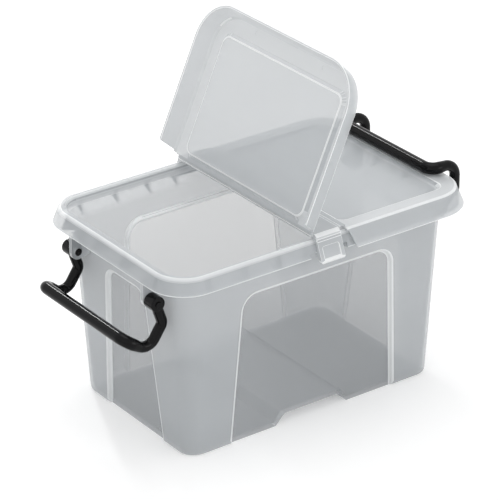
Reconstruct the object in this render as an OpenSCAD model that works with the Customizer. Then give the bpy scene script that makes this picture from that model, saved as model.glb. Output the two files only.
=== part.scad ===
// Portable file box: a drafted tub with recessed panels, a folding lid made of
// two leaves and a central bridge, and two swinging carry handles.
// Axes: X along the long side, Y across, Z up. Origin at the centre of the base.
// All lengths are in millimetres.

/* [Tub] */

// Length of the tub at its base
base_length = 194; // [170:1:230]
// Width of the tub at its base
base_width = 120; // [100:1:150]
// Height from the base to the top of the rim
rim_height = 132.6; // [118:0.2:160]
// Thickness of the moulded walls
wall = 1.8; // [1.4:0.1:2.2]
// Depth of the recessed side panels
panel_depth = 2.4; // [1.2:0.1:3.2]
// Height of the clearance channel under the floor
channel_height = 7.5; // [4:0.5:10]

/* [Lid] */

// Opening angle of the left leaf as drawn
leaf_open = 114.3; // [0:0.1:145]
// Thickness of the lid plate
lid_plate = 1.5; // [1.2:0.1:1.8]
// Depth of the stacking recess in each leaf
recess_depth = 2.2; // [1:0.1:2.6]
// Half distance between the two fold lines
fold_x = 11.4; // [10.4:0.1:12.4]

/* [Handles] */

// Diameter of the round bar that is held
bar_d = 8.0; // [6.5:0.1:8.1]
// Diameter of the handle's arms
rod_d = 7.0; // [6:0.1:7.1]
// Angle a handle swings between hanging and locked
swing = 146; // [130:1:146]
// Running clearance of a peg in its ear, on the radius
peg_gap = 0.05; // [0.02:0.01:0.1]

/* [Hidden] */

$fn = 64;
eps = 0.01;
corner_steps = 7;

// Body of the tub
draft = 0.0525;
draft_angle = atan(draft);
bx = base_length / 2;
by = base_width / 2;
rim_z = rim_height;
skirt_z = rim_z - 10.6;
neck_z = rim_z - 13.6;
floor_t = wall;

// Plan half sizes of the rim, measured out from the base
rim_dx = 20;
rim_dy = 16.5;

// Lid levels and plan half sizes
lid_under = rim_z + 0.4;
lid_top = lid_under + lid_plate;
lip_z = rim_z - 11.1;
lip_x = bx + 22.5;
lip_y = by + 19.75;
lid_t = 1.6;

// Stacking recess of one leaf
rec_in = fold_x + 8.2;
rec_out = bx + 1.5;
rec_cx = (rec_in + rec_out) / 2;
rec_hx = (rec_out - rec_in) / 2;
rec_hy = by + 1.5;

// Fold axis, a little above the plate, and the raised bridge between the folds
fold_z = lid_top + 1.1;
strap_top = fold_z + 0.6;
bead_r = 0.4;
web_low = 0.3;
web_t = 0.5;
web_l = 2 * (lip_y - 7.8);
web_edge = fold_x + 0.75;
plate_edge = fold_x + 3.2;
bridge_edge = fold_x - 1.8;

// Handle geometry, measured from the peg axis in the locked pose
peg_x = bx + 14;
peg_z = rim_z - 22.6;
rod_r = rod_d / 2;
bar_r = bar_d / 2;
peg_r = 2.45;
bar_up = 28.9;
bar_in = 7.5;
arm_y = 47;
arm_angle = 37.5;
run_x = 12.5;
lower_r = 5;
upper_r = 8.5;
bend_r = 7;
arm_len = (run_x - lower_r + lower_r * sin(arm_angle)) / cos(arm_angle);
lower_cz = arm_len * sin(arm_angle) + lower_r * cos(arm_angle);
upper_cz = bar_up - upper_r;
ear_y0 = 38.6;
ear_y1 = 41.4;
boss_y0 = 41.8;
boss_y1 = 50.8;
boss_r = 5;
lap = 0.1;
fillet_gap = 0.03;

// Gusset positions inside the rim
gusset_t = 1.6;
gussets_x = [36, 61, 88];
gussets_y = [15, 51];
notch_x = 14.2;

tub_col = [0.80, 0.84, 0.86, 0.55];
lid_col = [0.84, 0.87, 0.89, 0.55];
black_col = [0.04, 0.04, 0.045];

// One rounded-rectangle ring of points: [centre x, half x, half y, radius, z]
function ring(s) = [
    for (q = [0:3]) for (i = [0:corner_steps])
        let (a = q * 90 + i * 90 / corner_steps,
             sx = (q == 0 || q == 3) ? 1 : -1,
             sy = (q < 2) ? 1 : -1)
        [s[0] + sx * (s[1] - s[3]) + s[3] * cos(a),
         sy * (s[2] - s[3]) + s[3] * sin(a), s[4]]
];

// Solid skinned over a list of rings, the first and last rings closed
module skin(rings) {
    n = 4 * (corner_steps + 1);
    m = len(rings);
    pts = [for (s = rings) for (p = ring(s)) p];
    side = [
        for (k = [0:m - 2]) for (i = [0:n - 1])
            let (a = k * n + i, b = k * n + (i + 1) % n)
            each [[a, a + n, b + n], [a, b + n, b]]
    ];
    first = [for (i = [0:n - 1]) i];
    last = [for (i = [0:n - 1]) (m - 1) * n + (n - 1 - i)];
    polyhedron(points = pts, faces = concat(side, [first], [last]), convexity = 10);
}

// Half sizes of the drafted wall at height z, moved in by d
function wx(z, d) = bx + draft * z - d;
function wy(z, d) = by + draft * z - d;
function wr(z) = 11.5 + 0.025 * z;

module tub_shell() {
    rx = bx + rim_dx;
    ry = by + rim_dy;
    skin([
        [0, bx - 2.5, by - 2.5, 9, 0],
        [0, bx - 0.7, by - 0.7, 10.8, 0.7],
        [0, wx(2.5, 0), wy(2.5, 0), 11.5, 2.5],
        [0, wx(neck_z, 0), wy(neck_z, 0), wr(neck_z), neck_z],
        [0, rx - 8.6, ry - 6.3, 17, rim_z - 5.6],
        [0, rx - 8.1, ry - 6.1, 17.4, rim_z - 1.9],
        [0, rx - 5.4, ry - 5.2, 21.4, rim_z - 1.9],
        [0, rx - 1.6, ry - 1.6, 23.4, skirt_z],
        [0, rx, ry, 25, skirt_z],
        [0, rx - 3.8, ry - 3.8, 21.2, rim_z - 2.1],
        [0, rx - 4.3, ry - 4.3, 20.7, rim_z - 0.7],
        [0, rx - 5.6, ry - 5.4, 19.6, rim_z],
        [0, rx - 8.5, ry - 6.4, 18, rim_z],
        [0, rx - 9.3, ry - 7.1, 17.2, rim_z - 0.6],
        [0, rx - 9.6, ry - 7.4, 17, rim_z - 1.8],
        [0, rx - 10.2, ry - 7.9, 16.4, rim_z - 5],
        [0, wx(neck_z, wall), wy(neck_z, wall), wr(neck_z) - wall, neck_z + 0.6],
        [0, wx(4.4, wall), wy(4.4, wall), 9.8, floor_t + 2.6],
        [0, wx(2.6, wall + 0.8), wy(2.6, wall + 0.8), 9, floor_t + 0.8],
        [0, wx(2, wall + 2.4), wy(2, wall + 2.4), 7.4, floor_t]
    ]);
}

// Panel outline: straight tapering sides and two rounded top corners.
// a: half width at the base, b: half width at the top, h: height, g: growth
module panel_shape(a, b, h, r, g) {
    t = atan((a - b) / h);
    cx = b + g - r * (1 + sin(t)) / cos(t);
    cz = h + g - r;
    polygon([
        [-a - g - 4 * tan(t), -4], [a + g + 4 * tan(t), -4],
        [cx + r * cos(t), cz + r * sin(t)], [cx, cz + r],
        [-cx, cz + r], [-cx - r * cos(t), cz + r * sin(t)]
    ]);
    for (s = [-1, 1]) translate([s * cx, cz]) circle(r = r, $fn = 48);
}

// Places its child on the drafted wall: X along, Y up the wall, Z outwards
module on_front(half) {
    translate([0, -half, 0]) rotate([90 + draft_angle, 0, 0]) children();
}

module panel_cut(half, a, b, h, r) {
    on_front(half) translate([0, 0, -panel_depth])
        linear_extrude(height = panel_depth + 6) panel_shape(a, b, h, r, 0);
}

module panel_back(half, a, b, h, r) {
    intersection() {
        on_front(half) translate([0, 0, -panel_depth - wall])
            linear_extrude(height = panel_depth + wall - 1) panel_shape(a, b, h, r + wall, wall);
        translate([-bx, -2 * bx, 1]) cube([2 * bx, 4 * bx, rim_z - 12]);
    }
}

module all_panels(cut) {
    long_h = rim_z - 28;
    end_h = rim_z - 29;
    for (a = [0, 180]) rotate([0, 0, a]) {
        if (cut) panel_cut(by, 64, 58.5, long_h, 11);
        else panel_back(by, 64, 58.5, long_h, 11);
    }
    for (a = [90, -90]) rotate([0, 0, a]) {
        if (cut) panel_cut(bx, 31, 22, end_h, 9);
        else panel_back(bx, 31, 22, end_h, 9);
    }
}

// Clearance channel across the floor, g: growth
module channel(g, len) {
    h = channel_height;
    translate([0, len / 2, 0]) rotate([90, 0, 0]) linear_extrude(height = len) polygon([
        [-28 - g - 1, g > 0 ? 0.6 : -1], [28 + g + 1, g > 0 ? 0.6 : -1],
        [28 + g - 0.8, 1], [22 + g, h + g], [-22 - g, h + g], [-28 - g + 0.8, 1]
    ]);
}

// Plate that carries the peg of a handle
module ear(side) {
    sy = side < 0 ? -ear_y1 : ear_y0;
    translate([0, sy + ear_y1 - ear_y0, 0]) rotate([90, 0, 0])
        linear_extrude(height = ear_y1 - ear_y0) difference() {
            union() {
                polygon([
                    [-wx(0, 0) - 4.6, rim_z - 8.6], [-peg_x - 4.9, rim_z - 8.6],
                    [-peg_x - 4.9, peg_z], [-peg_x - 3.6, peg_z - 4.2],
                    [-peg_x + 0.6, peg_z - 5.6], [-wx(0, 0) - 4.6, peg_z - 3]
                ]);
                translate([-peg_x, peg_z]) circle(r = 5);
            }
            translate([-peg_x, peg_z]) circle(r = peg_r + peg_gap);
        }
}

module long_gusset(x) {
    ry = by + rim_dy;
    translate([x - gusset_t / 2, 0, 0]) rotate([90, 0, 90])
        linear_extrude(height = gusset_t) polygon([
            [-ry + 0.9, skirt_z + 0.8], [-ry + 4.6, rim_z - 1.3],
            [-ry + 6.6, rim_z - 1.3], [-ry + 10.6, neck_z + 0.4], [-ry + 10.6, neck_z - 1]
        ]);
}

module end_gusset(y) {
    rx = bx + rim_dx;
    translate([0, y + gusset_t / 2, 0]) rotate([90, 0, 0])
        linear_extrude(height = gusset_t) polygon([
            [-rx + 0.9, skirt_z + 0.8], [-rx + 4.6, rim_z - 1.3],
            [-rx + 8.8, rim_z - 1.3], [-rx + 14.2, neck_z + 0.4], [-rx + 14.2, neck_z - 1]
        ]);
}

module tub() {
    color(tub_col) difference() {
        union() {
            tub_shell();
            all_panels(false);
            channel(wall, 2 * by - 5);
            for (a = [0, 180]) rotate([0, 0, a]) {
                for (s = [-1, 1]) ear(s);
                for (x = gussets_x) {
                    long_gusset(x);
                    long_gusset(-x);
                }
                long_gusset(notch_x + gusset_t / 2);
                long_gusset(-notch_x - gusset_t / 2);
                for (y = gussets_y) {
                    end_gusset(y);
                    end_gusset(-y);
                }
            }
        }
        all_panels(true);
        channel(0, 2 * by + 20);
        for (a = [0, 180]) rotate([0, 0, a])
            translate([-notch_x, -by - 20, skirt_z - 1]) cube([2 * notch_x, 9, 4.5]);
    }
}

// Whole lid plate with its sloping skirt, before it is divided
module lid_shell() {
    skin([
        [0, lip_x - 7.2, lip_y - 7.2, 20.8, lid_under],
        [0, lip_x - 4.5 - lid_t, lip_y - 4.5 - lid_t, 21.9, lid_top - 3.1],
        [0, lip_x - lid_t, lip_y - lid_t, 26.4, lip_z],
        [0, lip_x, lip_y, 28, lip_z],
        [0, lip_x - 4.5, lip_y - 4.5, 23.5, lid_top - 3],
        [0, lip_x - 5.5, lip_y - 5.5, 22.5, lid_top - 0.9],
        [0, lip_x - 7.5, lip_y - 7.5, 20.5, lid_top]
    ]);
}

// One leaf as drawn on the right-hand side, closed
module leaf() {
    difference() {
        union() {
            intersection() {
                lid_shell();
                translate([plate_edge, -lip_y - 5, lip_z - 5])
                    cube([lip_x, 2 * lip_y + 10, 30]);
            }
            skin([
                [rec_cx, rec_hx + 0.5, rec_hy + 0.5, 5.5, lid_top - recess_depth - lid_plate],
                [rec_cx, rec_hx + 3.6, rec_hy + 3.6, 8.1, lid_under + 0.3]
            ]);
        }
        skin([
            [rec_cx, rec_hx, rec_hy, 5, lid_top - recess_depth],
            [rec_cx, rec_hx + 3, rec_hy + 3, 7.5, lid_top],
            [rec_cx, rec_hx + 4.1, rec_hy + 4.1, 8.6, lid_top + 1]
        ]);
        translate([0, lip_y + 5, 0]) rotate([90, 0, 0])
            linear_extrude(height = 2 * lip_y + 10) polygon([
                [plate_edge - 1, lip_z - 1], [plate_edge + 6.6, lip_z - 1],
                [plate_edge + 6, lip_z], [plate_edge + 5.2, lip_z + 0.5],
                [plate_edge + 4.8, lip_z + 1.6], [plate_edge + 1.2, lid_under - 0.4],
                [plate_edge - 1, lid_under - 0.2]
            ]);
    }
    translate([plate_edge - 0.6, -web_l / 2, lid_under])
        cube([1.2, web_l, fold_z - web_low + web_t - lid_under]);
    translate([web_edge, -web_l / 2, fold_z - web_low])
        cube([plate_edge - web_edge, web_l, web_t]);
}

module lid_right_leaf() {
    color(lid_col) leaf();
}

module lid_left_leaf() {
    color(lid_col)
        translate([-fold_x, 0, fold_z]) rotate([0, leaf_open, 0]) translate([fold_x, 0, -fold_z])
            rotate([0, 0, 180]) leaf();
}

// Snap tab on one long edge of the bridge, with its inward hook
module snap_tab() {
    hw = 9.2;
    translate([-hw, 0, 0]) rotate([90, 0, 90]) linear_extrude(height = 2 * hw) polygon([
        [-lip_y - 0.9, lip_z - 1.6], [-lip_y - 0.8, lip_z - 2.6],
        [-lip_y + 0.1, lip_z - 3.3], [-lip_y + 1.2, lip_z - 3.2],
        [-lip_y + 2.4, lip_z - 0.8], [-lip_y + 6.6, lip_z + 2.2],
        [-lip_y + 6.6, lip_z + 2.9], [-lip_y + 3.2, lip_z + 3.4],
        [-lip_y + 5.9, lid_under - 0.9], [-lip_y + 9.5, lid_under],
        [-lip_y + 9.5, strap_top], [-lip_y + 7.2, strap_top],
        [-lip_y + 5.6, strap_top - 0.7], [-lip_y + 4.6, strap_top - 2.3],
        [-lip_y + 3.8, lid_top - 3.2]
    ]);
}

// Raised strip between the folds, hollow below
module lid_bridge() {
    strap_y = lip_y - 8.5;
    color(lid_col) {
        difference() {
            union() {
                intersection() {
                    lid_shell();
                    translate([-bridge_edge, -lip_y - 5, lid_under - 1.2])
                        cube([2 * bridge_edge, 2 * lip_y + 10, 30]);
                }
                translate([0, strap_y, 0]) rotate([90, 0, 0])
                    linear_extrude(height = 2 * strap_y) polygon([
                        [-bridge_edge, lid_under], [bridge_edge, lid_under],
                        [bridge_edge, strap_top - 0.4], [bridge_edge - 0.4, strap_top],
                        [0.4 - bridge_edge, strap_top], [-bridge_edge, strap_top - 0.4]
                    ]);
            }
            translate([-bridge_edge + wall, -lip_y + 12, lid_under - 3])
                cube([2 * (bridge_edge - wall), 2 * lip_y - 24, strap_top - lid_under + 1.4]);
        }
        for (a = [0, 180]) rotate([0, 0, a]) snap_tab();
    }
}

// Thin web along a fold line with a round bead on the fold axis
module living_hinge(full) {
    reach = full ? web_edge + eps : fold_x;
    translate([fold_x, web_l / 2, fold_z]) rotate([90, 0, 0])
        cylinder(h = web_l, r = bead_r, $fn = 24);
    translate([bridge_edge - eps, -web_l / 2, fold_z - web_low])
        cube([reach - bridge_edge + eps, web_l, web_t]);
}

module left_living_hinge() {
    color(lid_col) rotate([0, 0, 180]) living_hinge(false);
}

module right_living_hinge() {
    color(lid_col) living_hinge(true);
}

// Half of a handle in the locked pose, peg axis on the Y axis, outwards +X
module handle_half() {
    turned(boss_y0, boss_y1, boss_r);
    turned(boss_y1 - 0.5, boss_y1 + 0.7, 2.1);
    turned(38, boss_y0 + 1, peg_r);
    translate([0, arm_y, 0]) rotate([0, 90 - arm_angle, 0])
        cylinder(h = arm_len + lap, r = rod_r + fillet_gap);
    translate([run_x - lower_r, arm_y, lower_cz]) rotate([90, 0, 0])
        rotate([0, 0, arm_angle - 90]) rotate_extrude(angle = 90 - arm_angle)
            translate([lower_r, 0]) circle(r = rod_r, $fn = 32);
    translate([run_x, arm_y, lower_cz - lap])
        cylinder(h = upper_cz - lower_cz + 2 * lap, r = rod_r + fillet_gap);
    translate([run_x - upper_r, arm_y, upper_cz]) rotate([90, 0, 0])
        rotate_extrude(angle = 90) translate([upper_r, 0]) circle(r = rod_r, $fn = 32);
    translate([bend_r - bar_in - lap, arm_y, bar_up]) rotate([0, 90, 0])
        cylinder(h = run_x - upper_r - bend_r + bar_in + 2 * lap,
                 r1 = bar_r + fillet_gap, r2 = rod_r + fillet_gap);
    translate([bend_r - bar_in, arm_y - bend_r, bar_up]) rotate([0, 0, 90])
        rotate_extrude(angle = 90) translate([bend_r, 0]) circle(r = bar_r, $fn = 32);
}

// Round piece on the peg axis between two places along Y
module turned(y0, y1, r) {
    translate([0, y1, 0]) rotate([90, 0, 0]) cylinder(h = y1 - y0, r = r);
}

module handle_locked() {
    handle_half();
    mirror([0, 1, 0]) handle_half();
    translate([-bar_in, arm_y - bend_r + lap, bar_up]) rotate([90, 0, 0])
        cylinder(h = 2 * (arm_y - bend_r + lap), r = bar_r + fillet_gap);
}

module right_handle() {
    color(black_col) translate([peg_x, 0, peg_z]) handle_locked();
}

module left_handle() {
    color(black_col) translate([-peg_x, 0, peg_z]) rotate([0, -swing, 0])
        rotate([0, 0, 180]) handle_locked();
}

tub();
lid_left_leaf();
lid_bridge();
lid_right_leaf();
left_living_hinge();
right_living_hinge();
left_handle();
right_handle();
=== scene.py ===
# %% [markdown]
# # A small see-through file box
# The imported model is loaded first. It is the frame: every piece made below sits in the same
# place, in metres, and moves with the body that it names. The box stands on its base at the
# origin, its long side runs along X, and Z is up.

# %% Load the frame
from math import atan, cos, degrees, pi, radians, sin, sqrt, tan

import bmesh
import bpy
from mathutils import Matrix, Vector


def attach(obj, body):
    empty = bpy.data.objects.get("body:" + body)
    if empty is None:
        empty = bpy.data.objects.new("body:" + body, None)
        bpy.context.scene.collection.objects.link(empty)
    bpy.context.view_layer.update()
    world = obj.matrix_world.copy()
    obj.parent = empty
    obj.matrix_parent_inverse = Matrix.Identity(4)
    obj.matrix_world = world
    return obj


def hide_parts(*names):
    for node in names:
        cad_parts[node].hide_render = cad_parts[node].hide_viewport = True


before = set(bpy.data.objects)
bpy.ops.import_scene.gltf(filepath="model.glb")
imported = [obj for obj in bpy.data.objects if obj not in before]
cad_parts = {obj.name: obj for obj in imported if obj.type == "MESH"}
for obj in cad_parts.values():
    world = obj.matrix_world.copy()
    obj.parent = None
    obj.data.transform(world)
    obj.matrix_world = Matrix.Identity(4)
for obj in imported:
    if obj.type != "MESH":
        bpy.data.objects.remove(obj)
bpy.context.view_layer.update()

MM = 0.001

# %% [markdown]
# ## The camera
# The viewing angle was solved from the box's own straight edges. A long lens far away keeps
# the edges nearly parallel, as a catalogue photographer does. Blender wants the camera's
# right, up and backward directions as the columns of one matrix.

# %% Camera
CAMERA_AZIMUTH, CAMERA_ELEVATION, CAMERA_ROLL = radians(-35.66), radians(26.53), radians(-0.47)
CAMERA_DISTANCE, CAMERA_RIGHT, CAMERA_DOWN = 1.9134, -0.00553, -0.08396
FOCAL_PIXELS, IMAGE_PIXELS, SENSOR_WIDTH = 2917.4, 500, 36
CAMERA_LENS = FOCAL_PIXELS * SENSOR_WIDTH / IMAGE_PIXELS

back = Vector((sin(CAMERA_AZIMUTH) * cos(CAMERA_ELEVATION),
               -cos(CAMERA_AZIMUTH) * cos(CAMERA_ELEVATION), sin(CAMERA_ELEVATION)))
level_right = (-back).cross(Vector((0, 0, 1))).normalized()
level_up = level_right.cross(-back)
right = cos(CAMERA_ROLL) * level_right + sin(CAMERA_ROLL) * level_up
up = -sin(CAMERA_ROLL) * level_right + cos(CAMERA_ROLL) * level_up

camera = bpy.data.objects.new("camera", bpy.data.cameras.new("camera"))
bpy.context.scene.collection.objects.link(camera)
camera.data.lens, camera.data.sensor_width = CAMERA_LENS, SENSOR_WIDTH
camera.data.clip_start, camera.data.clip_end = 0.1, 20
place = back * CAMERA_DISTANCE + right * CAMERA_RIGHT - up * CAMERA_DOWN
camera.matrix_world = Matrix.Translation(place) @ Matrix((right, up, back)).transposed().to_4x4()
bpy.context.scene.camera = camera
print("camera stands", round(place.length, 2), "m away, lens", round(CAMERA_LENS), "mm")

# %% [markdown]
# ## Sizes
# These are the same named sizes, in millimetres, that the solid model uses, so that every
# moulding made here lands on its solid.

# %% Sizes of the box
BASE_X, BASE_Y = 97.0, 60.0
RIM_Z = 132.6
WALL, PANEL_DEPTH, CHANNEL_H = 1.8, 2.4, 7.5
DRAFT = 0.0525
SKIRT_Z, NECK_Z = RIM_Z - 10.6, RIM_Z - 13.6
RIM_X, RIM_Y = BASE_X + 20, BASE_Y + 16.5
PLATE = 1.5
LID_UNDER = RIM_Z + 0.4
LID_TOP = LID_UNDER + PLATE
LIP_Z = RIM_Z - 11.1
LIP_X, LIP_Y, LIP_T = BASE_X + 22.5, BASE_Y + 19.75, 1.6
FOLD_X, FOLD_Z = 11.4, LID_TOP + 1.1
STRAP_TOP = FOLD_Z + 0.6
WEB_EDGE, PLATE_EDGE, BRIDGE_EDGE = FOLD_X + 0.75, FOLD_X + 3.2, FOLD_X - 1.8
WEB_LOW, WEB_HIGH, WEB_HALF = FOLD_Z - 0.3, FOLD_Z + 0.2, LIP_Y - 7.8
RECESS_DEPTH = 2.2
LEAF_OPEN = radians(114.3)
print("lid", 2 * LIP_X, "x", 2 * LIP_Y, "mm, top at", LID_TOP)

# %% [markdown]
# ## Mesh tools
# A moulding like this is a stack of rounded rectangles, so one tool makes such a ring and
# another skins a list of rings into a closed solid. `soften` replaces each sharp ring with a
# few rings along a small curve, which gives the moulded edges their radius.

# %% Rings and skins
CORNER_STEPS = 12


def corner_ring(hx, hy, r, z, cx=0.0):
    """Points of one rounded rectangle, counter-clockwise from above."""
    points = []
    for quarter in range(4):
        sx = 1 if quarter in (0, 3) else -1
        sy = 1 if quarter < 2 else -1
        for i in range(CORNER_STEPS + 1):
            a = radians(90 * quarter + 90 * i / CORNER_STEPS)
            points.append((cx + sx * (hx - r) + r * cos(a), sy * (hy - r) + r * sin(a), z))
    return points


def soften(rows, steps=4):
    """rows: (values..., radius). Rounds the path of the values at each row by its radius."""
    rows = [([float(v) for v in row[:-1]], row[-1]) for row in rows]
    out = []
    for k, (here, radius) in enumerate(rows):
        if radius <= 0 or k in (0, len(rows) - 1):
            out.append(here)
            continue
        ends = []
        for other in (rows[k - 1][0], rows[k + 1][0]):
            gap = sqrt((other[0] - here[0]) ** 2 + (other[-1] - here[-1]) ** 2) or 1
            t = min(0.48, radius / gap)
            ends.append([h + (o - h) * t for h, o in zip(here, other)])
        for i in range(steps + 1):
            t = i / steps
            out.append([(1 - t) ** 2 * a + 2 * t * (1 - t) * h + t * t * b
                        for a, h, b in zip(ends[0], here, ends[1])])
    return out


def new_object(name, mesh):
    made = bpy.data.objects.new(name, mesh)
    bpy.context.scene.collection.objects.link(made)
    return made


def skin(name, rings):
    """Closed solid over a list of rings with equal point counts, given in millimetres."""
    bm = bmesh.new()
    loops = [[bm.verts.new(Vector(p) * MM) for p in ring] for ring in rings]
    n = len(loops[0])
    for low, high in zip(loops, loops[1:]):
        for i in range(n):
            j = (i + 1) % n
            bm.faces.new((low[i], low[j], high[j], high[i]))
    bm.faces.new(loops[0][::-1])
    bm.faces.new(loops[-1])
    bmesh.ops.recalc_face_normals(bm, faces=bm.faces)
    mesh = bpy.data.meshes.new(name)
    bm.to_mesh(mesh)
    bm.free()
    return new_object(name, mesh)


def plate(name, outline, low, high, to_world, soft=0.0):
    """Flat outline [(u, v)] given a thickness from low to high, placed by to_world(u, v, w)."""
    bm = bmesh.new()
    bottom = [bm.verts.new(Vector((u, v, low)) * MM) for u, v in outline]
    top = [bm.verts.new(Vector((u, v, high)) * MM) for u, v in outline]
    n = len(outline)
    for i in range(n):
        j = (i + 1) % n
        bm.faces.new((bottom[i], bottom[j], top[j], top[i]))
    bm.faces.new(bottom[::-1])
    bm.faces.new(top)
    if soft:
        bmesh.ops.bevel(bm, geom=list(bm.edges), offset=soft * MM, segments=2,
                        profile=0.5, affect="EDGES", clamp_overlap=True)
    for v in bm.verts:
        v.co = Vector(to_world(*(v.co / MM))) * MM
    bmesh.ops.recalc_face_normals(bm, faces=bm.faces)
    mesh = bpy.data.meshes.new(name)
    bm.to_mesh(mesh)
    bm.free()
    return new_object(name, mesh)


# %% [markdown]
# Mouldings are joined and hollowed with exact Booleans, so that each one ends as a single
# closed skin. That matters for see-through plastic: a hidden face inside the wall would show.

# %% Cut, join, turn and finish tools
def apply_modifiers(piece):
    bpy.context.view_layer.update()
    graph = bpy.context.evaluated_depsgraph_get()
    mesh = bpy.data.meshes.new_from_object(piece.evaluated_get(graph))
    old = piece.data
    piece.modifiers.clear()
    piece.data = mesh
    mesh.name = piece.name
    bpy.data.meshes.remove(old)
    return piece


def combine(piece, tool, how):
    """Exact Boolean of piece with tool: DIFFERENCE, UNION or INTERSECT. The tool is used up."""
    step = piece.modifiers.new(how, "BOOLEAN")
    step.operation, step.object, step.solver = how, tool, "EXACT"
    apply_modifiers(piece)
    bpy.data.objects.remove(tool)
    return piece


def joined(name, parts):
    """One object from several that don't touch."""
    bm = bmesh.new()
    for part in parts:
        bm.from_mesh(part.data)
        bpy.data.objects.remove(part)
    mesh = bpy.data.meshes.new(name)
    bm.to_mesh(mesh)
    bm.free()
    return new_object(name, mesh)


def moved(piece, matrix):
    piece.data.transform(matrix)
    if matrix.determinant() < 0:
        piece.data.flip_normals()
    return piece


def copy_of(piece, name, matrix):
    twin = new_object(name, piece.data.copy())
    return moved(twin, matrix)


def smooth(piece, angle=32):
    """Smooth shading that keeps hard edges, with flat faces left flat."""
    bm = bmesh.new()
    bm.from_mesh(piece.data)
    bmesh.ops.remove_doubles(bm, verts=bm.verts, dist=0.004 * MM)
    bmesh.ops.dissolve_degenerate(bm, edges=bm.edges, dist=0.004 * MM)
    bm.to_mesh(piece.data)
    bm.free()
    piece.data.shade_smooth()
    piece.data.set_sharp_from_angle(angle=radians(angle))
    even = piece.modifiers.new("even_normals", "WEIGHTED_NORMAL")
    even.keep_sharp, even.weight = True, 80
    print(piece.name, "faces:", len(piece.data.polygons))
    return piece


HALF_TURN = Matrix.Rotation(pi, 4, "Z")

# %% [markdown]
# ## The tub
# The tub is one injection moulding: walls that lean out for release, a floor, and a rim that
# turns down into a skirt. The outside and the inside are each one skin, and the second is
# taken out of the first.

# %% Outside of the tub
def wall_row(z, inset, r_less, radius):
    return (BASE_X + DRAFT * z - inset, BASE_Y + DRAFT * z - inset,
            11.5 + 0.025 * z - r_less, z, radius)


outside_rows = [
    (88, 51, 4, 0, 0),
    (BASE_X, BASE_Y, 11.5, 0, 3.0),
    wall_row(NECK_Z, 0, 0, 2.5),
    (RIM_X - 8.6, RIM_Y - 6.3, 17, RIM_Z - 5.6, 2.0),
    (RIM_X - 8.1, RIM_Y - 6.1, 17.4, RIM_Z - 1.9, 0.35),
    (RIM_X - 5.4, RIM_Y - 5.2, 21.4, RIM_Z - 1.9, 0.35),
    (RIM_X - 1.6, RIM_Y - 1.6, 23.4, SKIRT_Z, 0.5),
    (RIM_X, RIM_Y, 25, SKIRT_Z, 0.7),
    (RIM_X - 3.9, RIM_Y - 3.9, 21.1, RIM_Z - 0.4, 2.0),
    (RIM_X - 5.4, RIM_Y - 5.3, 19.6, RIM_Z, 0.8),
    (RIM_X - 8.0, RIM_Y - 6.2, 18, RIM_Z, 0),
]
tub = skin("tub_moulding", [corner_ring(*row) for row in soften(outside_rows)])
print("outside rings:", len(soften(outside_rows)))

# %% Inside of the tub
inside_rows = [
    (86, 49, 4, WALL, 0),
    (BASE_X - 1.75, BASE_Y - 1.75, 9.8, WALL, 3.2),
    wall_row(NECK_Z + 0.6, WALL, WALL, 2.5),
    (RIM_X - 10.2, RIM_Y - 7.9, 16.4, RIM_Z - 5, 2.0),
    (RIM_X - 9.6, RIM_Y - 7.4, 17, RIM_Z - 1.2, 0.8),
    (RIM_X - 8.7, RIM_Y - 6.7, 17.8, RIM_Z + 0.02, 0.4),
    (RIM_X - 8.3, RIM_Y - 6.45, 18, RIM_Z + 1.5, 0),
]
hollow = skin("hollow", [corner_ring(*row) for row in soften(inside_rows)])
print("inside rings:", len(soften(inside_rows)))

# %% [markdown]
# Each side has a large panel set back by a couple of millimetres, so the corners stand out as
# pillars that end in feet. The cutter for a panel is flared at its outer edge and rounded at
# its inner edge, which leaves moulded radii without a separate bevel. The same outline, grown
# by the wall thickness, makes the step inside, so the wall stays equally thick.

# %% Recessed side panels
def panel_outline(a, b, h, r, grow, foot=-4.0):
    """Outline on the wall: half width a at the base and b at the top, corner radius r."""
    lean = atan((a - b) / h)
    r = max(r + grow, 0.4)
    cx = b + grow - r * (1 + sin(lean)) / cos(lean)
    cz = h + grow - r
    arc = [lean + (pi / 2 - lean) * i / 12 for i in range(13)]
    rise = [(cx + r * cos(t), cz + r * sin(t)) for t in arc]
    low = a + grow - foot * tan(lean)
    return [(low, foot)] + rise + [(-x, z) for x, z in reversed(rise)] + [(-low, foot)]


def on_wall(half):
    """Maps (along, up the wall, outwards) to the leaning front wall at distance half."""
    lean = atan(DRAFT)

    def place_point(u, v, w):
        return (u, -half - v * sin(lean) - w * cos(lean), v * cos(lean) - w * sin(lean))
    return place_point


def panel_tool(name, half, a, b, h, r, rows, foot=-4.0):
    """Solid over panel outlines, one for each (growth, depth) row."""
    put = on_wall(half)
    rings = [[put(u, v, w) for u, v in panel_outline(a, b, h, r, g, foot)] for g, w in rows]
    return skin(name, rings)


LONG_PANEL = (BASE_Y, 64, 58.5, RIM_Z - 28, 11)
END_PANEL = (BASE_X, 31, 22, RIM_Z - 29, 9)
CUT_ROWS = [(-1.3, -PANEL_DEPTH), (-0.8, -PANEL_DEPTH + 0.1), (-0.35, -PANEL_DEPTH + 0.35),
            (-0.05, -PANEL_DEPTH + 0.8), (0.05, -1.0), (0.25, -0.55), (0.6, -0.25),
            (1.1, -0.07), (1.7, 0.0), (3.0, 0.3), (3.2, 6.0)]
STEP_ROWS = [(WALL - 1.2, -PANEL_DEPTH - WALL), (WALL - 0.7, -PANEL_DEPTH - WALL + 0.1),
             (WALL - 0.25, -PANEL_DEPTH - WALL + 0.4), (WALL, -PANEL_DEPTH - WALL + 0.9),
             (WALL + 0.1, -WALL - 0.8), (WALL + 0.4, -WALL - 0.3), (WALL + 1.0, -WALL),
             (WALL + 1.1, 0.5)]

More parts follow.
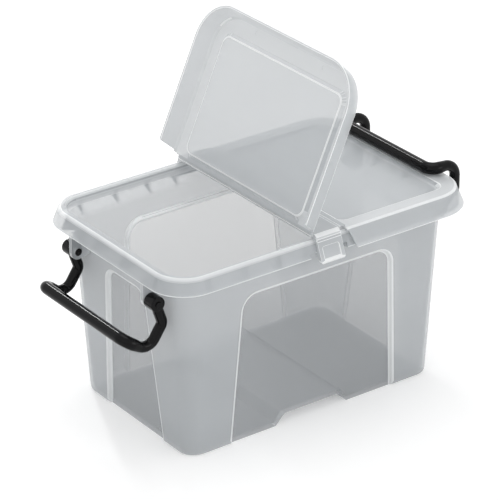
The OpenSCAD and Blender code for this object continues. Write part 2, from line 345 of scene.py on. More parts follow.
cutters, steps = [], []
for sizes, turns in ((LONG_PANEL, (0, pi)), (END_PANEL, (pi / 2, -pi / 2))):
    for turn in turns:
        matrix = Matrix.Rotation(turn, 4, "Z")
        cutters.append(moved(panel_tool("cut", *sizes, CUT_ROWS), matrix))
        steps.append(moved(panel_tool("step", *sizes, STEP_ROWS, foot=-6.0), matrix))
combine(tub, joined("panel_cuts", cutters), "DIFFERENCE")
combine(hollow, joined("panel_steps", steps), "DIFFERENCE")
print("panels set back", PANEL_DEPTH, "mm")

# %% [markdown]
# A shallow channel crosses the underside, so that a stacked box clears the lid's bridge below
# it. The floor rises over it by the same amount inside.

# %% Channel under the floor
def channel_tool(grow):
    """Bar across the tub, from just under the floor up to the channel's roof."""
    h, foot, half_length = CHANNEL_H, -1, BASE_Y + 10
    outline = [(-29 - grow, foot), (29 + grow, foot), (27.9 + grow, 0.5), (27 + grow, 1.5),
               (23.0 + grow, h + grow - 1.6), (21.6 + grow * 0.8, h + grow - 0.3),
               (20.3, h + grow), (-20.3, h + grow), (-21.6 - grow * 0.8, h + grow - 0.3),
               (-23.0 - grow, h + grow - 1.6), (-27 - grow, 1.5), (-27.9 - grow, 0.5)]
    return plate("channel", outline, -half_length, half_length, lambda u, v, w: (u, w, v))


combine(tub, channel_tool(0), "DIFFERENCE")
combine(hollow, channel_tool(WALL), "DIFFERENCE")
combine(tub, hollow, "DIFFERENCE")
print("channel", CHANNEL_H, "mm high")

# %% [markdown]
# Below the rim there are gussets that stiffen the turned-down skirt, and at each end two ears
# with a hole for a handle's peg. The middle of each long skirt is cut short, so that the
# lid's snap tab can hook under it.

# %% Gussets, ears and the notch for the snap tab
GUSSET_T, NOTCH_X = 1.6, 14.2
PEG_X, PEG_Z, PEG_R, PEG_GAP = BASE_X + 14, RIM_Z - 22.6, 2.45, 0.05
EAR_IN, EAR_OUT, EAR_R = 38.6, 41.4, 5.0
EAR_ROOT_X, EAR_TOP_Z = BASE_X + 4.6, RIM_Z - 8.6
LONG_SIDE_GUSSETS = (36, 61, 88, NOTCH_X + GUSSET_T / 2)
SHORT_SIDE_GUSSETS = (15, 51)
HOLE_MIDDLE, HOLE_HALF = 40, 4

long_side = [(-RIM_Y + 0.9, SKIRT_Z + 0.8), (-RIM_Y + 4.6, RIM_Z - 1.3),
             (-RIM_Y + 6.6, RIM_Z - 1.3), (-RIM_Y + 10.6, NECK_Z + 0.4),
             (-RIM_Y + 10.6, NECK_Z - 1)]
short_side = [(-RIM_X + 0.9, SKIRT_Z + 0.8), (-RIM_X + 4.6, RIM_Z - 1.3),
              (-RIM_X + 8.8, RIM_Z - 1.3), (-RIM_X + 14.2, NECK_Z + 0.4),
              (-RIM_X + 14.2, NECK_Z - 1)]


def arc_points(cx, cz, r, start, end, n=16):
    angles = [radians(start + (end - start) * i / n) for i in range(n + 1)]
    return [(cx + r * cos(a), cz + r * sin(a)) for a in angles]


ear_outline = ([(-EAR_ROOT_X, EAR_TOP_Z), (-PEG_X - 4.95, EAR_TOP_Z)]
               + arc_points(-PEG_X, PEG_Z, EAR_R, 180, 290, 14)
               + [(-EAR_ROOT_X, PEG_Z - 3)])
ribs = []
for turn in (0, pi):
    matrix = Matrix.Rotation(turn, 4, "Z")
    for x in LONG_SIDE_GUSSETS:
        for s in (-1, 1):
            low = s * x - GUSSET_T / 2
            rib = plate("rib", long_side, low, low + GUSSET_T, lambda u, v, w: (w, u, v))
            ribs.append(moved(rib, matrix))
    for y in SHORT_SIDE_GUSSETS:
        for s in (-1, 1):
            low = s * y - GUSSET_T / 2
            rib = plate("rib", short_side, low, low + GUSSET_T, lambda u, v, w: (u, w, v))
            ribs.append(moved(rib, matrix))
    for s in (-1, 1):
        low, high = sorted((s * EAR_IN, s * EAR_OUT))
        ribs.append(moved(plate("ear", ear_outline, low, high,
                                lambda u, v, w: (u, w, v), soft=0.25), matrix))
combine(tub, joined("ribs_and_ears", ribs), "UNION")

holes = []
for sx in (-1, 1):
    ring = arc_points(sx * PEG_X, PEG_Z, PEG_R + PEG_GAP, 0, 360, 32)[:-1]
    for sy in (-1, 1):
        holes.append(plate("hole", ring, sy * HOLE_MIDDLE - HOLE_HALF,
                           sy * HOLE_MIDDLE + HOLE_HALF, lambda u, v, w: (u, w, v)))
notch = [(-RIM_Y - 3.5, SKIRT_Z - 1), (-RIM_Y + 5.5, SKIRT_Z - 1), (-RIM_Y + 5.5, SKIRT_Z + 3.5),
         (-RIM_Y - 3.5, SKIRT_Z + 3.5)]
for turn in (0, pi):
    tool = plate("notch", notch, -NOTCH_X, NOTCH_X, lambda u, v, w: (w, u, v))
    holes.append(moved(tool, Matrix.Rotation(turn, 4, "Z")))
combine(tub, joined("holes", holes), "DIFFERENCE")
print("ribs and ears:", len(ribs), "holes and notches:", len(holes))

# %% [markdown]
# ## The lid
# The lid is one moulding too: a plate with a skirt that slopes outwards. It is skinned whole
# and then parted at the two fold lines, because the left leaf swings on its own.

# %% The lid's plate and skirt
lid_rows = [
    (LIP_X - 20, LIP_Y - 20, 8, LID_UNDER, 0),
    (LIP_X - 6.0 - 0.4, LIP_Y - 6.4, 21.6, LID_UNDER, 1.6),
    (LIP_X - LIP_T, LIP_Y - LIP_T, 26.4, LIP_Z, 0.5),
    (LIP_X, LIP_Y, 28, LIP_Z, 0.7),
    (LIP_X - 4.5, LIP_Y - 4.5, 23.5, LID_TOP - 2.2, 0.0),
    (LIP_X - 5.2, LIP_Y - 5.2, 22.8, LID_TOP, 2.4),
    (LIP_X - 20, LIP_Y - 20, 8, LID_TOP, 0),
]
whole_lid = skin("whole_lid", [corner_ring(*row) for row in soften(lid_rows, 5)])
print("lid rings:", len(soften(lid_rows, 5)))


# %% [markdown]
# Each leaf has a shallow recess that takes the feet of a box stacked on top. Its sloping edge
# shows from above as a frame, and from below as a raised ridge. The recess is cut and its
# underside is built up by the same amount, both with rounded edges.

# %% One leaf
REC_IN, REC_OUT = FOLD_X + 8.2, BASE_X + 1.5
REC_CX, REC_HX, REC_HY = (REC_IN + REC_OUT) / 2, (REC_OUT - REC_IN) / 2, BASE_Y + 1.5


def recess_rings(rows):
    """rows: (growth, corner radius, height, rounding)."""
    made = soften([(REC_HX + g, REC_HY + g, r, z, f) for g, r, z, f in rows], 4)
    return [corner_ring(hx, hy, r, z, REC_CX) for hx, hy, r, z in made]


def keep_right_of(piece, x):
    """Cuts a closed piece at a plane and closes the cut."""
    bm = bmesh.new()
    bm.from_mesh(piece.data)
    everything = list(bm.verts) + list(bm.edges) + list(bm.faces)
    cut = bmesh.ops.bisect_plane(bm, geom=everything, plane_co=(x * MM, 0, 0),
                                 plane_no=(1, 0, 0), clear_inner=True)
    rim = [e for e in cut["geom_cut"] if isinstance(e, bmesh.types.BMEdge)]
    bmesh.ops.triangle_fill(bm, use_beauty=True, edges=rim)
    bmesh.ops.recalc_face_normals(bm, faces=bm.faces)
    bm.to_mesh(piece.data)
    bm.free()
    return piece


leaf = keep_right_of(copy_of(whole_lid, "leaf", Matrix.Identity(4)), PLATE_EDGE)
floor_z = LID_TOP - RECESS_DEPTH
combine(leaf, skin("ridge", recess_rings([
    (-12, 3, floor_z - PLATE, 0), (0.5, 5.5, floor_z - PLATE, 0.9),
    (3.6, 8.1, LID_UNDER + 0.2, 0), (3.6, 8.1, LID_UNDER + 0.5, 0)])), "UNION")
combine(leaf, skin("recess", recess_rings([
    (-12, 3, floor_z, 0), (0, 5, floor_z, 0.9), (3.0, 7.5, LID_TOP - 0.02, 0.5),
    (3.9, 8.4, LID_TOP + 0.03, 0), (4.1, 8.6, LID_TOP + 1, 0)])), "DIFFERENCE")
skirt_end = ([(PLATE_EDGE - 1, LIP_Z - 1), (PLATE_EDGE + 6.6, LIP_Z - 1)]
             + arc_points(PLATE_EDGE + 6.2, LIP_Z + 1.7, 1.7, 255, 195, 6)
             + [(PLATE_EDGE + 1.2, LID_UNDER - 0.4), (PLATE_EDGE - 1, LID_UNDER - 0.2)])
combine(leaf, plate("skirt_end", skirt_end, -LIP_Y - 5, LIP_Y + 5,
                    lambda u, v, w: (u, w, v)), "DIFFERENCE")
fold_lip = [(WEB_EDGE, WEB_LOW), (PLATE_EDGE - 0.6, WEB_LOW), (PLATE_EDGE - 0.6, LID_UNDER + 0.1),
            (PLATE_EDGE + 0.5, LID_UNDER + 0.1), (PLATE_EDGE + 0.6, WEB_HIGH - 0.2),
            (PLATE_EDGE + 0.4, WEB_HIGH), (WEB_EDGE, WEB_HIGH)]
combine(leaf, plate("fold_lip", fold_lip, -WEB_HALF, WEB_HALF,
                    lambda u, v, w: (u, w, v)), "UNION")
EJECTOR_X, EJECTOR_Y, EJECTOR_R, EJECTOR_DEPTH = 109.0, 35.0, 1.8, 0.15
marks = [plate("mark", arc_points(EJECTOR_X, y, EJECTOR_R, 0, 360, 20)[:-1], LID_UNDER - 1,
               LID_UNDER + EJECTOR_DEPTH, lambda u, v, w: (u, v, w))
         for y in (-EJECTOR_Y, EJECTOR_Y)]
combine(leaf, joined("ejector_marks", marks), "DIFFERENCE")
print("leaf faces:", len(leaf.data.polygons))

# %% [markdown]
# The left leaf is the same shape turned end for end, then swung open about its fold line.

# %% Both leaves
right_leaf = copy_of(leaf, "right_leaf_moulding", Matrix.Identity(4))
to_fold = Matrix.Translation(Vector((-FOLD_X, 0, FOLD_Z)) * MM)
swing_open = to_fold @ Matrix.Rotation(LEAF_OPEN, 4, "Y") @ to_fold.inverted()
left_leaf = copy_of(leaf, "left_leaf_moulding", swing_open @ HALF_TURN)
bpy.data.objects.remove(leaf)
print("left leaf opened by", round(degrees(LEAF_OPEN), 1), "degrees")

# %% [markdown]
# The bridge is the fixed strip between the fold lines. A snap tab hangs from each of its ends:
# a curved finger with a hook inside and a sunk panel outside, where a thumb pulls it free.

# %% Bridge and snap tabs
TAB_HALF = 9.2
bridge = copy_of(whole_lid, "bridge_moulding", Matrix.Identity(4))
block = plate("block", [(-BRIDGE_EDGE, -LIP_Y - 5), (BRIDGE_EDGE, -LIP_Y - 5),
                        (BRIDGE_EDGE, LIP_Y + 5), (-BRIDGE_EDGE, LIP_Y + 5)],
              LID_UNDER - 0.9, LID_TOP + 9, lambda u, v, w: (u, v, w))
combine(bridge, block, "INTERSECT")
strap = ([(-BRIDGE_EDGE, LID_UNDER), (BRIDGE_EDGE, LID_UNDER)]
         + arc_points(BRIDGE_EDGE - 0.6, STRAP_TOP - 0.6, 0.6, 0, 90, 5)
         + arc_points(0.6 - BRIDGE_EDGE, STRAP_TOP - 0.6, 0.6, 90, 180, 5))
combine(bridge, plate("strap", strap, 8.5 - LIP_Y, LIP_Y - 8.5,
                      lambda u, v, w: (u, w, v)), "UNION")
inner = BRIDGE_EDGE - WALL
under = [(-inner, LID_UNDER - 3), (inner, LID_UNDER - 3), (inner, STRAP_TOP - 1.9),
         (inner - 0.3, STRAP_TOP - 1.6), (0.3 - inner, STRAP_TOP - 1.6), (-inner, STRAP_TOP - 1.9)]
combine(bridge, plate("under", under, 12 - LIP_Y, LIP_Y - 12,
                      lambda u, v, w: (u, w, v)), "DIFFERENCE")
tab_section = [(-0.9, -1.6), (-0.9, -2.3), (-0.6, -2.9), (0.0, -3.3), (0.7, -3.35), (1.3, -3.0),
               (2.4, -0.8), (6.4, 2.1), (6.6, 2.5), (6.4, 2.9), (3.2, 3.4), (5.9, 10.6),
               (9.5, 11.5), (9.5, 14.7), (7.6, 14.7), (6.6, 14.5), (5.8, 14.0), (5.1, 13.2),
               (4.5, 11.9), (4.0, 10.3)]
tab_outline = [(-LIP_Y + y, LIP_Z + z) for y, z in tab_section]
tab = plate("tab", tab_outline, -TAB_HALF, TAB_HALF, lambda u, v, w: (w, u, v), soft=0.3)
corner_cut = []
for s in (-1, 1):
    outline = [(s * (TAB_HALF + 1), LIP_Z - 6), (s * (TAB_HALF + 1), LIP_Z)] + \
        [(s * x, z) for x, z in arc_points(TAB_HALF - 2.4, LIP_Z - 1.0, 2.4, 0, -90, 8)] + \
        [(s * (TAB_HALF - 2.4), LIP_Z - 6)]
    corner_cut.append(plate("corner", outline, -LIP_Y - 4, -LIP_Y + 12,
                            lambda u, v, w: (u, w, v)))
combine(tab, joined("corners", corner_cut), "DIFFERENCE")
print("tab", 2 * TAB_HALF, "mm wide")


# %% Sunk panel of the tab
def on_tab(u, v, w):
    """Maps (along X, up the tab, outwards) to the tab's sloping face."""
    lean = atan(4.9 / 11.9)
    y0, z0 = -LIP_Y - 0.9, LIP_Z - 1.6
    return (u, y0 + v * sin(lean) - w * cos(lean), z0 + v * cos(lean) - w * sin(lean))


sunk = [panel_outline(6.6, 6.6, 9.6, 1.6, g, foot=1.0 - g) for g in (-0.5, -0.1, 0.05, 0.4)]
rings = [[on_tab(u, v, w) for u, v in ring] for ring, w in zip(sunk, (-0.45, -0.35, -0.1, 0.6))]
combine(tab, skin("sunk_panel", rings), "DIFFERENCE")
far_tab = copy_of(tab, "far_tab", HALF_TURN)
combine(bridge, tab, "UNION")
combine(bridge, far_tab, "UNION")
print("bridge faces:", len(bridge.data.polygons))

# %% [markdown]
# A living hinge is the lid's own plastic, thinned to a web. Each one is a narrow strip with a
# round bead, and the bead lies on the axis that the leaf turns about.

# %% Living hinges
BEAD_R = 0.4


def fold_web(name, reach):
    """Web from the bridge to `reach`, with a bead on the right-hand fold line."""
    low, high = [(BRIDGE_EDGE, WEB_LOW)], [(BRIDGE_EDGE, WEB_HIGH)]
    bead = arc_points(FOLD_X, FOLD_Z, BEAD_R, 229, 510, 20)
    if reach > FOLD_X:
        bead = (arc_points(FOLD_X, FOLD_Z, BEAD_R, 229, 311, 6)
                + [(reach, WEB_LOW), (reach, WEB_HIGH)]
                + arc_points(FOLD_X, FOLD_Z, BEAD_R, 30, 150, 10))
    return plate(name, low + bead + high, -WEB_HALF, WEB_HALF, lambda u, v, w: (u, w, v))


right_web = fold_web("right_fold_web", WEB_EDGE)
left_web = moved(fold_web("left_fold_web", FOLD_X), HALF_TURN)
bpy.data.objects.remove(whole_lid)
print("fold lines at", -FOLD_X, "and", FOLD_X, "mm")

# %% [markdown]
# ## The handles
# Each handle is one black moulding: a round bar whose ends bend back, curl round the lid's
# edge and run into thick bosses with pegs. A section is swept along one path from boss to
# boss, and the bosses are joined on.

# %% Handle path
ROD_R, BAR_R, BAR_UP, BAR_IN, ARM_Y, TAPER = 3.5, 4.0, 28.9, 7.5, 47.0, 4.5
ARM_ANGLE, RUN_X, LOWER_R, UPPER_R, BEND_R = radians(37.5), 12.5, 5.0, 8.5, 7.0
SWING = radians(146)
BOSS_IN, BOSS_OUT, BOSS_R = 41.8, 50.8, 5.0
ARM_LEN = (RUN_X - LOWER_R + LOWER_R * sin(ARM_ANGLE)) / cos(ARM_ANGLE)
LOWER_Z = ARM_LEN * sin(ARM_ANGLE) + LOWER_R * cos(ARM_ANGLE)


def handle_path():
    """Half of the path, from the peg axis to the bar's end, in the locked pose."""
    points = [(ARM_LEN * t * cos(ARM_ANGLE), ARM_Y, ARM_LEN * t * sin(ARM_ANGLE))
              for t in (0.0, 0.5, 0.9)]
    points += [(x, ARM_Y, z) for x, z in arc_points(
        RUN_X - LOWER_R, LOWER_Z, LOWER_R, degrees(ARM_ANGLE) - 90, 0, 10)]
    points += [(x, ARM_Y, z) for x, z in arc_points(
        RUN_X - UPPER_R, BAR_UP - UPPER_R, UPPER_R, 0, 90, 16)]
    for i in range(13):
        a = pi / 2 + pi / 2 * i / 12
        points.append((BEND_R - BAR_IN + BEND_R * cos(a),
                       ARM_Y - BEND_R + BEND_R * sin(a), BAR_UP))
    return points


def bar_radius(p):
    """The arms thicken to the bar where they come over the lid."""
    if p.z <= BAR_UP - 1:
        return ROD_R
    return ROD_R + (BAR_R - ROD_R) * min(1, max(0, (RUN_X - UPPER_R - p.x) / TAPER))


half_path = [Vector(p) for p in handle_path()]
bar = [Vector((-BAR_IN, (ARM_Y - BEND_R) * (1 - 2 * i / 8), BAR_UP)) for i in range(1, 8)]
full_path = half_path + bar + [Vector((p.x, -p.y, p.z)) for p in reversed(half_path)]
path_length = sum((b - a).length for a, b in zip(full_path, full_path[1:]))
print("handle path length", round(path_length), "mm")


# %% Handle body
def sweep(name, path, radius_at, sides=28):
    """Closed round bar along a path, its section carried along without twisting."""
    rings, normal = [], Vector((0, 1, 0))
    for k, p in enumerate(path):
        ahead = (path[min(k + 1, len(path) - 1)] - path[max(k - 1, 0)]).normalized()
        normal = (normal - ahead * normal.dot(ahead)).normalized()
        side = ahead.cross(normal)
        rings.append([p + radius_at(p) * (cos(a) * normal + sin(a) * side)
                      for a in (2 * pi * i / sides for i in range(sides))])
    return skin(name, rings)


def round_pin(name, rows, sides=40):
    """Turned solid along Y over (y, radius) rows."""
    return skin(name, [[(r * cos(a), y, r * sin(a))
                        for a in (2 * pi * i / sides for i in range(sides))] for y, r in rows])


handle = sweep("handle", full_path, bar_radius)
ends = []
for s in (-1, 1):
    boss = round_pin("boss", [(s * y, r) for y, r in (
        (38.0, 1.9), (38.35, PEG_R), (BOSS_IN, PEG_R), (BOSS_IN, BOSS_R - 0.4),
        (BOSS_IN + 0.4, BOSS_R), (BOSS_OUT - 0.8, BOSS_R), (BOSS_OUT - 0.25, BOSS_R - 0.25),
        (BOSS_OUT, BOSS_R - 0.8), (BOSS_OUT, 2.1), (BOSS_OUT + 0.5, 2.1), (BOSS_OUT + 0.7, 1.8))])
    ends.append(boss)
combine(handle, joined("bosses", ends), "UNION")
print("handle faces:", len(handle.data.polygons))

# %% Both handles
right_place = Matrix.Translation(Vector((PEG_X, 0, PEG_Z)) * MM)
left_place = Matrix.Translation(Vector((-PEG_X, 0, PEG_Z)) * MM)
right_handle = copy_of(handle, "right_handle_moulding", right_place)
left_handle = copy_of(handle, "left_handle_moulding",
                      left_place @ Matrix.Rotation(-SWING, 4, "Y") @ HALF_TURN)
bpy.data.objects.remove(handle)
print("handle swing", round(degrees(SWING)), "degrees")

# %% [markdown]
# ## See-through plastic
# The plastic is milky: part of the light goes straight through and part is scattered. Moulded
# radii and the flat borders of the lid and rim get a painted highlight: their colour is mixed
# towards near-white, and they are made more opaque too. The set-back panels are polished clearer
# than the rest. So each face carries two numbers: the first is how much painted highlight it
# gets, and `veil` is its opacity. A radius is told by its narrow strips of faces.

# %% Paint edge highlights and clear panels
PANEL_VEIL, RIM_VEIL, RIB_VEIL = 0.34, 0.44, 0.62
# Faces narrower than EDGE_WIDTH mm get the painted edge highlight, fading out over EDGE_FADE mm.
EDGE_WIDTH, EDGE_FADE = 1.15, 0.5


def strip_width(mesh, face):
    """Width in mm of a long face: its area over its longest edge."""
    corners = [mesh.vertices[i].co for i in face.vertices]
    longest = max((a - b).length for a, b in zip(corners, corners[1:] + corners[:1]))
    return face.area / max(longest, 1e-7) / MM


def plain_veil(centre, normal, plain):
    """The lid's opacity is the same on every plain face, wherever it is."""
    return plain


def tub_veil(centre, normal, plain):
    """Opacity of a flat face of the tub: set-back panels and the thin rim are clearer."""
    x, y, z = (abs(v) / MM for v in centre)
    upright_x, upright_y = abs(normal.x) > 0.98, abs(normal.y) > 0.98
    behind_y, behind_x = BASE_Y + DRAFT * z - y, BASE_X + DRAFT * z - x
    set_back = max(behind_y if upright_y else 0, behind_x if upright_x else 0)
    if 2.1 < set_back < 5 and z > 3:
        return PANEL_VEIL
    if z > NECK_Z - 4 and min(behind_x, behind_y) < -1:
        return RIB_VEIL if upright_x or upright_y else RIM_VEIL
    return plain


def mark_faces(piece, veils, bands, to_closed, veil_of=plain_veil):
    """Paints a highlight into the edges and sets each face's opacity. veils: opacity of a plain
    face
    and of an edge. bands: (lowest and highest height, distance from the lid's outline, least and
    greatest painted highlight) in the closed pose. A band with a least highlight is for level
    faces, and one without is for sloping faces."""
    mesh = piece.data
    highlight_layer = mesh.attributes.new("painted_edge_highlight", "FLOAT", "FACE")
    veil_layer = mesh.attributes.new("veil", "FLOAT", "FACE")
    plain, edge = veils
    turn = to_closed.to_3x3()
    highlighted_faces = 0
    for face, highlight_at, veil_at in zip(mesh.polygons, highlight_layer.data, veil_layer.data):
        centre = to_closed @ face.center
        # Narrow strips of faces, the moulded radii, get a painted highlight; level faces get none
        # here.
        light = min(1.0, max(0.0, (EDGE_WIDTH - strip_width(mesh, face)) / EDGE_FADE))
        level = abs((turn @ face.normal).z) > 0.995
        if level:
            light = 0.0
        inset = min(LIP_X - abs(centre.x) / MM, LIP_Y - abs(centre.y) / MM)
        # Bands paint a highlight on level borders of the lid and rim, and cap it on sloping faces.
        for low, high, reach, least, most in bands:
            if low < centre.z / MM < high and inset < reach and level == (least > 0):
                light = min(most, max(least, light))
        base = veil_of(centre, face.normal, plain)
        highlight_at.value, veil_at.value = light, base + (edge - base) * light
        highlighted_faces += light > 0.5
    print(piece.name, "edge faces:", highlighted_faces)


def node(tree, kind, **settings):
    made = tree.nodes.new(kind)
    for key, value in settings.items():
        if key in made.inputs:
            made.inputs[key].default_value = value
        else:
            setattr(made, key, value)
    return made


def wire(tree, *pairs):
    for (a, out), (b, into) in pairs:
        tree.links.new(a.outputs[out], b.inputs[into])


# %% Milky plastic
CLEAR_BODY, CLEAR_SPAN = 0.75, 0.08


def milky_plastic(name, body, edge, rough, grain, mottle):
    """Procedural moulded plastic: body colour, an edge colour near white that paints a highlight
    on the faces marked for it, roughness, grain and mottling. Faces with a low veil are clearer,
    so they scatter less light and their body is darker."""
    made = bpy.data.materials.new(name)
    made.use_nodes = True
    tree = made.node_tree
    shader = tree.nodes["Principled BSDF"]
    shader.inputs["IOR"].default_value = 1.49
    where = node(tree, "ShaderNodeTexCoord")
    cloud = node(tree, "ShaderNodeTexNoise", Scale=14.0, Detail=3.0)
    flow = node(tree, "ShaderNodeMapping")
    flow.inputs["Scale"].default_value = (1.0, 1.0, 2.2)
    tint = node(tree, "ShaderNodeMix", data_type="RGBA")
    tint.inputs["A"].default_value = (*[c * (1 - mottle) for c in body], 1)
    tint.inputs["B"].default_value = (*[min(1, c * (1 + mottle)) for c in body], 1)
    # Attribute holding the amount of painted edge highlight of each face.
    mark = node(tree, "ShaderNodeAttribute", attribute_name="painted_edge_highlight")
    veil = node(tree, "ShaderNodeAttribute", attribute_name="veil")
    clear = node(tree, "ShaderNodeMapRange")
    for key, value in (("From Min", PANEL_VEIL), ("From Max", PANEL_VEIL + CLEAR_SPAN),
                       ("To Min", CLEAR_BODY), ("To Max", 1.0)):
        clear.inputs[key].default_value = value
    body_tone = node(tree, "ShaderNodeVectorMath", operation="SCALE")
    # Painted highlight: the near-white edge colour is mixed into the body colour.
    painted_highlight_mix = node(tree, "ShaderNodeMix", data_type="RGBA")
    painted_highlight_mix.inputs["B"].default_value = (*edge, 1)
    fine = node(tree, "ShaderNodeTexNoise", Scale=grain, Detail=4.0)
    polish = node(tree, "ShaderNodeMapRange")
    polish.inputs["To Min"].default_value = rough - 0.03
    polish.inputs["To Max"].default_value = rough + 0.03
    bump = node(tree, "ShaderNodeBump", Strength=0.12, Distance=0.0002)
    wire(tree, ((where, "Object"), (flow, "Vector")), ((flow, "Vector"), (cloud, "Vector")),
         ((where, "Object"), (fine, "Vector")), ((cloud, "Fac"), (tint, "Factor")),
         ((veil, "Fac"), (clear, "Value")), ((clear, "Result"), (body_tone, "Scale")),
         ((tint, "Result"), (body_tone, 0)), ((body_tone, "Vector"), (painted_highlight_mix, "A")),
         ((mark, "Fac"), (painted_highlight_mix, "Factor")),
         ((painted_highlight_mix, "Result"), (shader, "Base Color")), ((veil, "Fac"), (shader, "Alpha")),
         ((cloud, "Fac"), (polish, "Value")), ((polish, "Result"), (shader, "Roughness")),
         ((fine, "Fac"), (bump, "Height")), ((bump, "Normal"), (shader, "Normal")))
    return made


# The second colour of each plastic is the near-white painted onto edges as a highlight.
lid_plastic = milky_plastic("lid_milky_plastic", (0.59, 0.615, 0.635), (0.93, 0.945, 0.95),
                            0.33, 900.0, 0.02)
tub_plastic = milky_plastic("tub_frosted_plastic", (0.53, 0.555, 0.575), (0.90, 0.92, 0.93),
                            0.42, 700.0, 0.03)
print("materials:", lid_plastic.name, tub_plastic.name)


# %% [markdown]
# The handles are solid black plastic with a polished mould finish: nearly black, glossy, with
# faint waves in the surface so that highlights break up a little.

# %% Black handle plastic
def black_plastic():
    made = bpy.data.materials.new("handle_black_plastic")
    made.use_nodes = True
    tree = made.node_tree
    shader = tree.nodes["Principled BSDF"]
    shader.inputs["IOR"].default_value = 1.5
    shader.inputs["Specular IOR Level"].default_value = 0.16
    where = node(tree, "ShaderNodeTexCoord")
    wave = node(tree, "ShaderNodeTexNoise", Scale=60.0, Detail=2.0)
    fine = node(tree, "ShaderNodeTexNoise", Scale=1400.0, Detail=3.0)
    shade = node(tree, "ShaderNodeMix", data_type="RGBA")
    shade.inputs["A"].default_value = (0.002, 0.002, 0.0023, 1)
    shade.inputs["B"].default_value = (0.004, 0.004, 0.0045, 1)
    polish = node(tree, "ShaderNodeMapRange")
    polish.inputs["To Min"].default_value, polish.inputs["To Max"].default_value = 0.02, 0.05
    bump = node(tree, "ShaderNodeBump", Strength=0.10, Distance=0.0002)
    wire(tree, ((where, "Object"), (wave, "Vector")), ((where, "Object"), (fine, "Vector")),
         ((wave, "Fac"), (shade, "Factor")), ((shade, "Result"), (shader, "Base Color")),
         ((wave, "Fac"), (polish, "Value")), ((polish, "Result"), (shader, "Roughness")),
         ((fine, "Fac"), (bump, "Height")), ((bump, "Normal"), (shader, "Normal")))
    return made


handle_plastic = black_plastic()
print("material:", handle_plastic.name)

# %% [markdown]
# ## Put each moulding on its body
# Each piece takes its material, rides on its body, and stands for the solid of the same place.

# %% Dress the frame
STILL = Matrix.Identity(4)
closed_left = (swing_open @ HALF_TURN).inverted()
LID_VEILS, TUB_VEILS, WEB_VEILS = (0.54, 0.76), (0.46, 0.62), (0.6, 0.7)
# Bands of painted highlight: the lid's top and underside borders and the rim's top are painted
# brighter; sloping faces near the lid's underside keep at most a faint painted highlight.
lid_highlight_bands = [(LID_TOP - 0.1, LID_TOP + 0.1, 17, 0.45, 1.0),
             (LID_UNDER - 0.04, LID_UNDER + 0.2, 17, 0.35, 1.0),
             (LID_UNDER - 3, LID_UNDER - 0.05, 9, 0.0, 0.12),
             (LID_UNDER - 0.7, LID_UNDER + 0.4, 60, 0.0, 0.12)]
rim_highlight_bands = [(RIM_Z - 0.4, RIM_Z + 0.1, 20, 0.15, 0.4)]
dressing = [
    (tub, tub_plastic, "box", "tub", "tub_plastic", TUB_VEILS, rim_highlight_bands, STILL, tub_veil),
    (left_leaf, lid_plastic, "left_leaf", "lid_left_leaf", "lid_plastic",
     LID_VEILS, lid_highlight_bands, closed_left, plain_veil),
    (right_leaf, lid_plastic, "box", "lid_right_leaf", "lid_plastic",
     LID_VEILS, lid_highlight_bands, STILL, plain_veil),
    (bridge, lid_plastic, "box", "lid_bridge", "lid_plastic", LID_VEILS, [], STILL, plain_veil),
    (left_web, lid_plastic, "box", "left_living_hinge", "lid_plastic",
     WEB_VEILS, [], STILL, plain_veil),
    (right_web, lid_plastic, "box", "right_living_hinge", "lid_plastic",
     WEB_VEILS, [], STILL, plain_veil),
    (left_handle, handle_plastic, "left_bail", "left_handle", "handle_plastic",
     None, [], STILL, None),
    (right_handle, handle_plastic, "right_bail", "right_handle", "handle_plastic",
     None, [], STILL, None),
]
for piece, material, body, solid, slot, veils, bands, to_closed, veil_of in dressing:
    smooth(piece)
    if veils:
        mark_faces(piece, veils, bands, to_closed, veil_of)
    piece.data.materials.clear()
    piece.data.materials.append(material)
    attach(piece, body)
    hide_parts(solid)
print("pieces dressed:", len(dressing))

# %% [markdown]
# ## Studio
# A white sweep: the floor is a little lifted for the camera alone, so that it reaches paper
# white and still shows the soft shadow. The world is white to the camera, to reflections and
# through glass, and lights the object a little less.

# %% Floor and world
FLOOR_HALF, FLOOR_TONE, FLOOR_LIFT, WORLD_LIGHT = 3000, 0.93, 0.16, 0.82

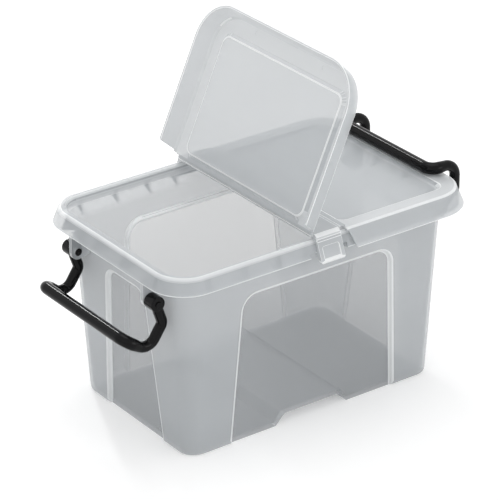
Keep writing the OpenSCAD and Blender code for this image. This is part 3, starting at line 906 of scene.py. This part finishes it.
corners = [(sx * FLOOR_HALF, sy * FLOOR_HALF) for sx, sy in ((-1, -1), (1, -1), (1, 1), (-1, 1))]
floor = plate("studio_floor", corners, -2.0, 0.0, lambda u, v, w: (u, v, w - 0.02))
floor_paint = bpy.data.materials.new("studio_white")
floor_paint.use_nodes = True
tree = floor_paint.node_tree
shader = tree.nodes["Principled BSDF"]
shader.inputs["Base Color"].default_value = (FLOOR_TONE, FLOOR_TONE, FLOOR_TONE, 1)
shader.inputs["Roughness"].default_value = 0.9
shader.inputs["Specular IOR Level"].default_value = 0.0
shader.inputs["Emission Color"].default_value = (1, 1, 1, 1)
seen = node(tree, "ShaderNodeLightPath")
lift = node(tree, "ShaderNodeMath", operation="MULTIPLY")
lift.inputs[1].default_value = FLOOR_LIFT
wire(tree, ((seen, "Is Camera Ray"), (lift, 0)), ((lift, "Value"), (shader, "Emission Strength")))
floor.data.materials.append(floor_paint)

world = bpy.data.worlds.new("studio")
bpy.context.scene.world = world
world.use_nodes = True
tree = world.node_tree
sky = tree.nodes["Background"]
seen = node(tree, "ShaderNodeLightPath")
both = node(tree, "ShaderNodeMath", operation="MAXIMUM")
level = node(tree, "ShaderNodeMapRange")
level.inputs["To Min"].default_value, level.inputs["To Max"].default_value = WORLD_LIGHT, 1.0
any_white = node(tree, "ShaderNodeMath", operation="MAXIMUM")
sky.inputs["Color"].default_value = (1, 1, 1, 1)
wire(tree, ((seen, "Is Camera Ray"), (both, 0)), ((seen, "Is Transmission Ray"), (both, 1)),
     ((both, "Value"), (any_white, 0)), ((seen, "Is Glossy Ray"), (any_white, 1)),
     ((any_white, "Value"), (level, "Value")), ((level, "Result"), (sky, "Strength")))
print("floor and world ready")


# %% Lamps
def soft_lamp(name, place, aim, width, height, watts):
    lamp = bpy.data.objects.new(name, bpy.data.lights.new(name, "AREA"))
    lamp.data.shape, lamp.data.energy = "RECTANGLE", watts
    lamp.data.size, lamp.data.size_y = width, height
    bpy.context.scene.collection.objects.link(lamp)
    lamp.location = place
    direction = Vector(aim) - Vector(place)
    lamp.rotation_euler = direction.to_track_quat("-Z", "Y").to_euler()
    return lamp


lamps = [
    soft_lamp("top_softbox", (0.1, 0.0, 1.4), (0, 0, 0.05), 0.9, 0.9, 3.0),
    soft_lamp("left_softbox", (-1.3, -0.8, 0.7), (0, 0, 0.08), 0.7, 0.7, 0.3),
    soft_lamp("front_softbox", (0.7, -1.6, 0.6), (0, 0, 0.08), 1.0, 0.7, 4.0),
    soft_lamp("back_strip", (0.25, 1.05, 0.97), (0, 0, 0.1), 0.06, 0.5, 4.5),
]
print("lamps:", len(lamps))

# %% Finish: standard view transform
bpy.context.scene.view_settings.view_transform = "Standard"
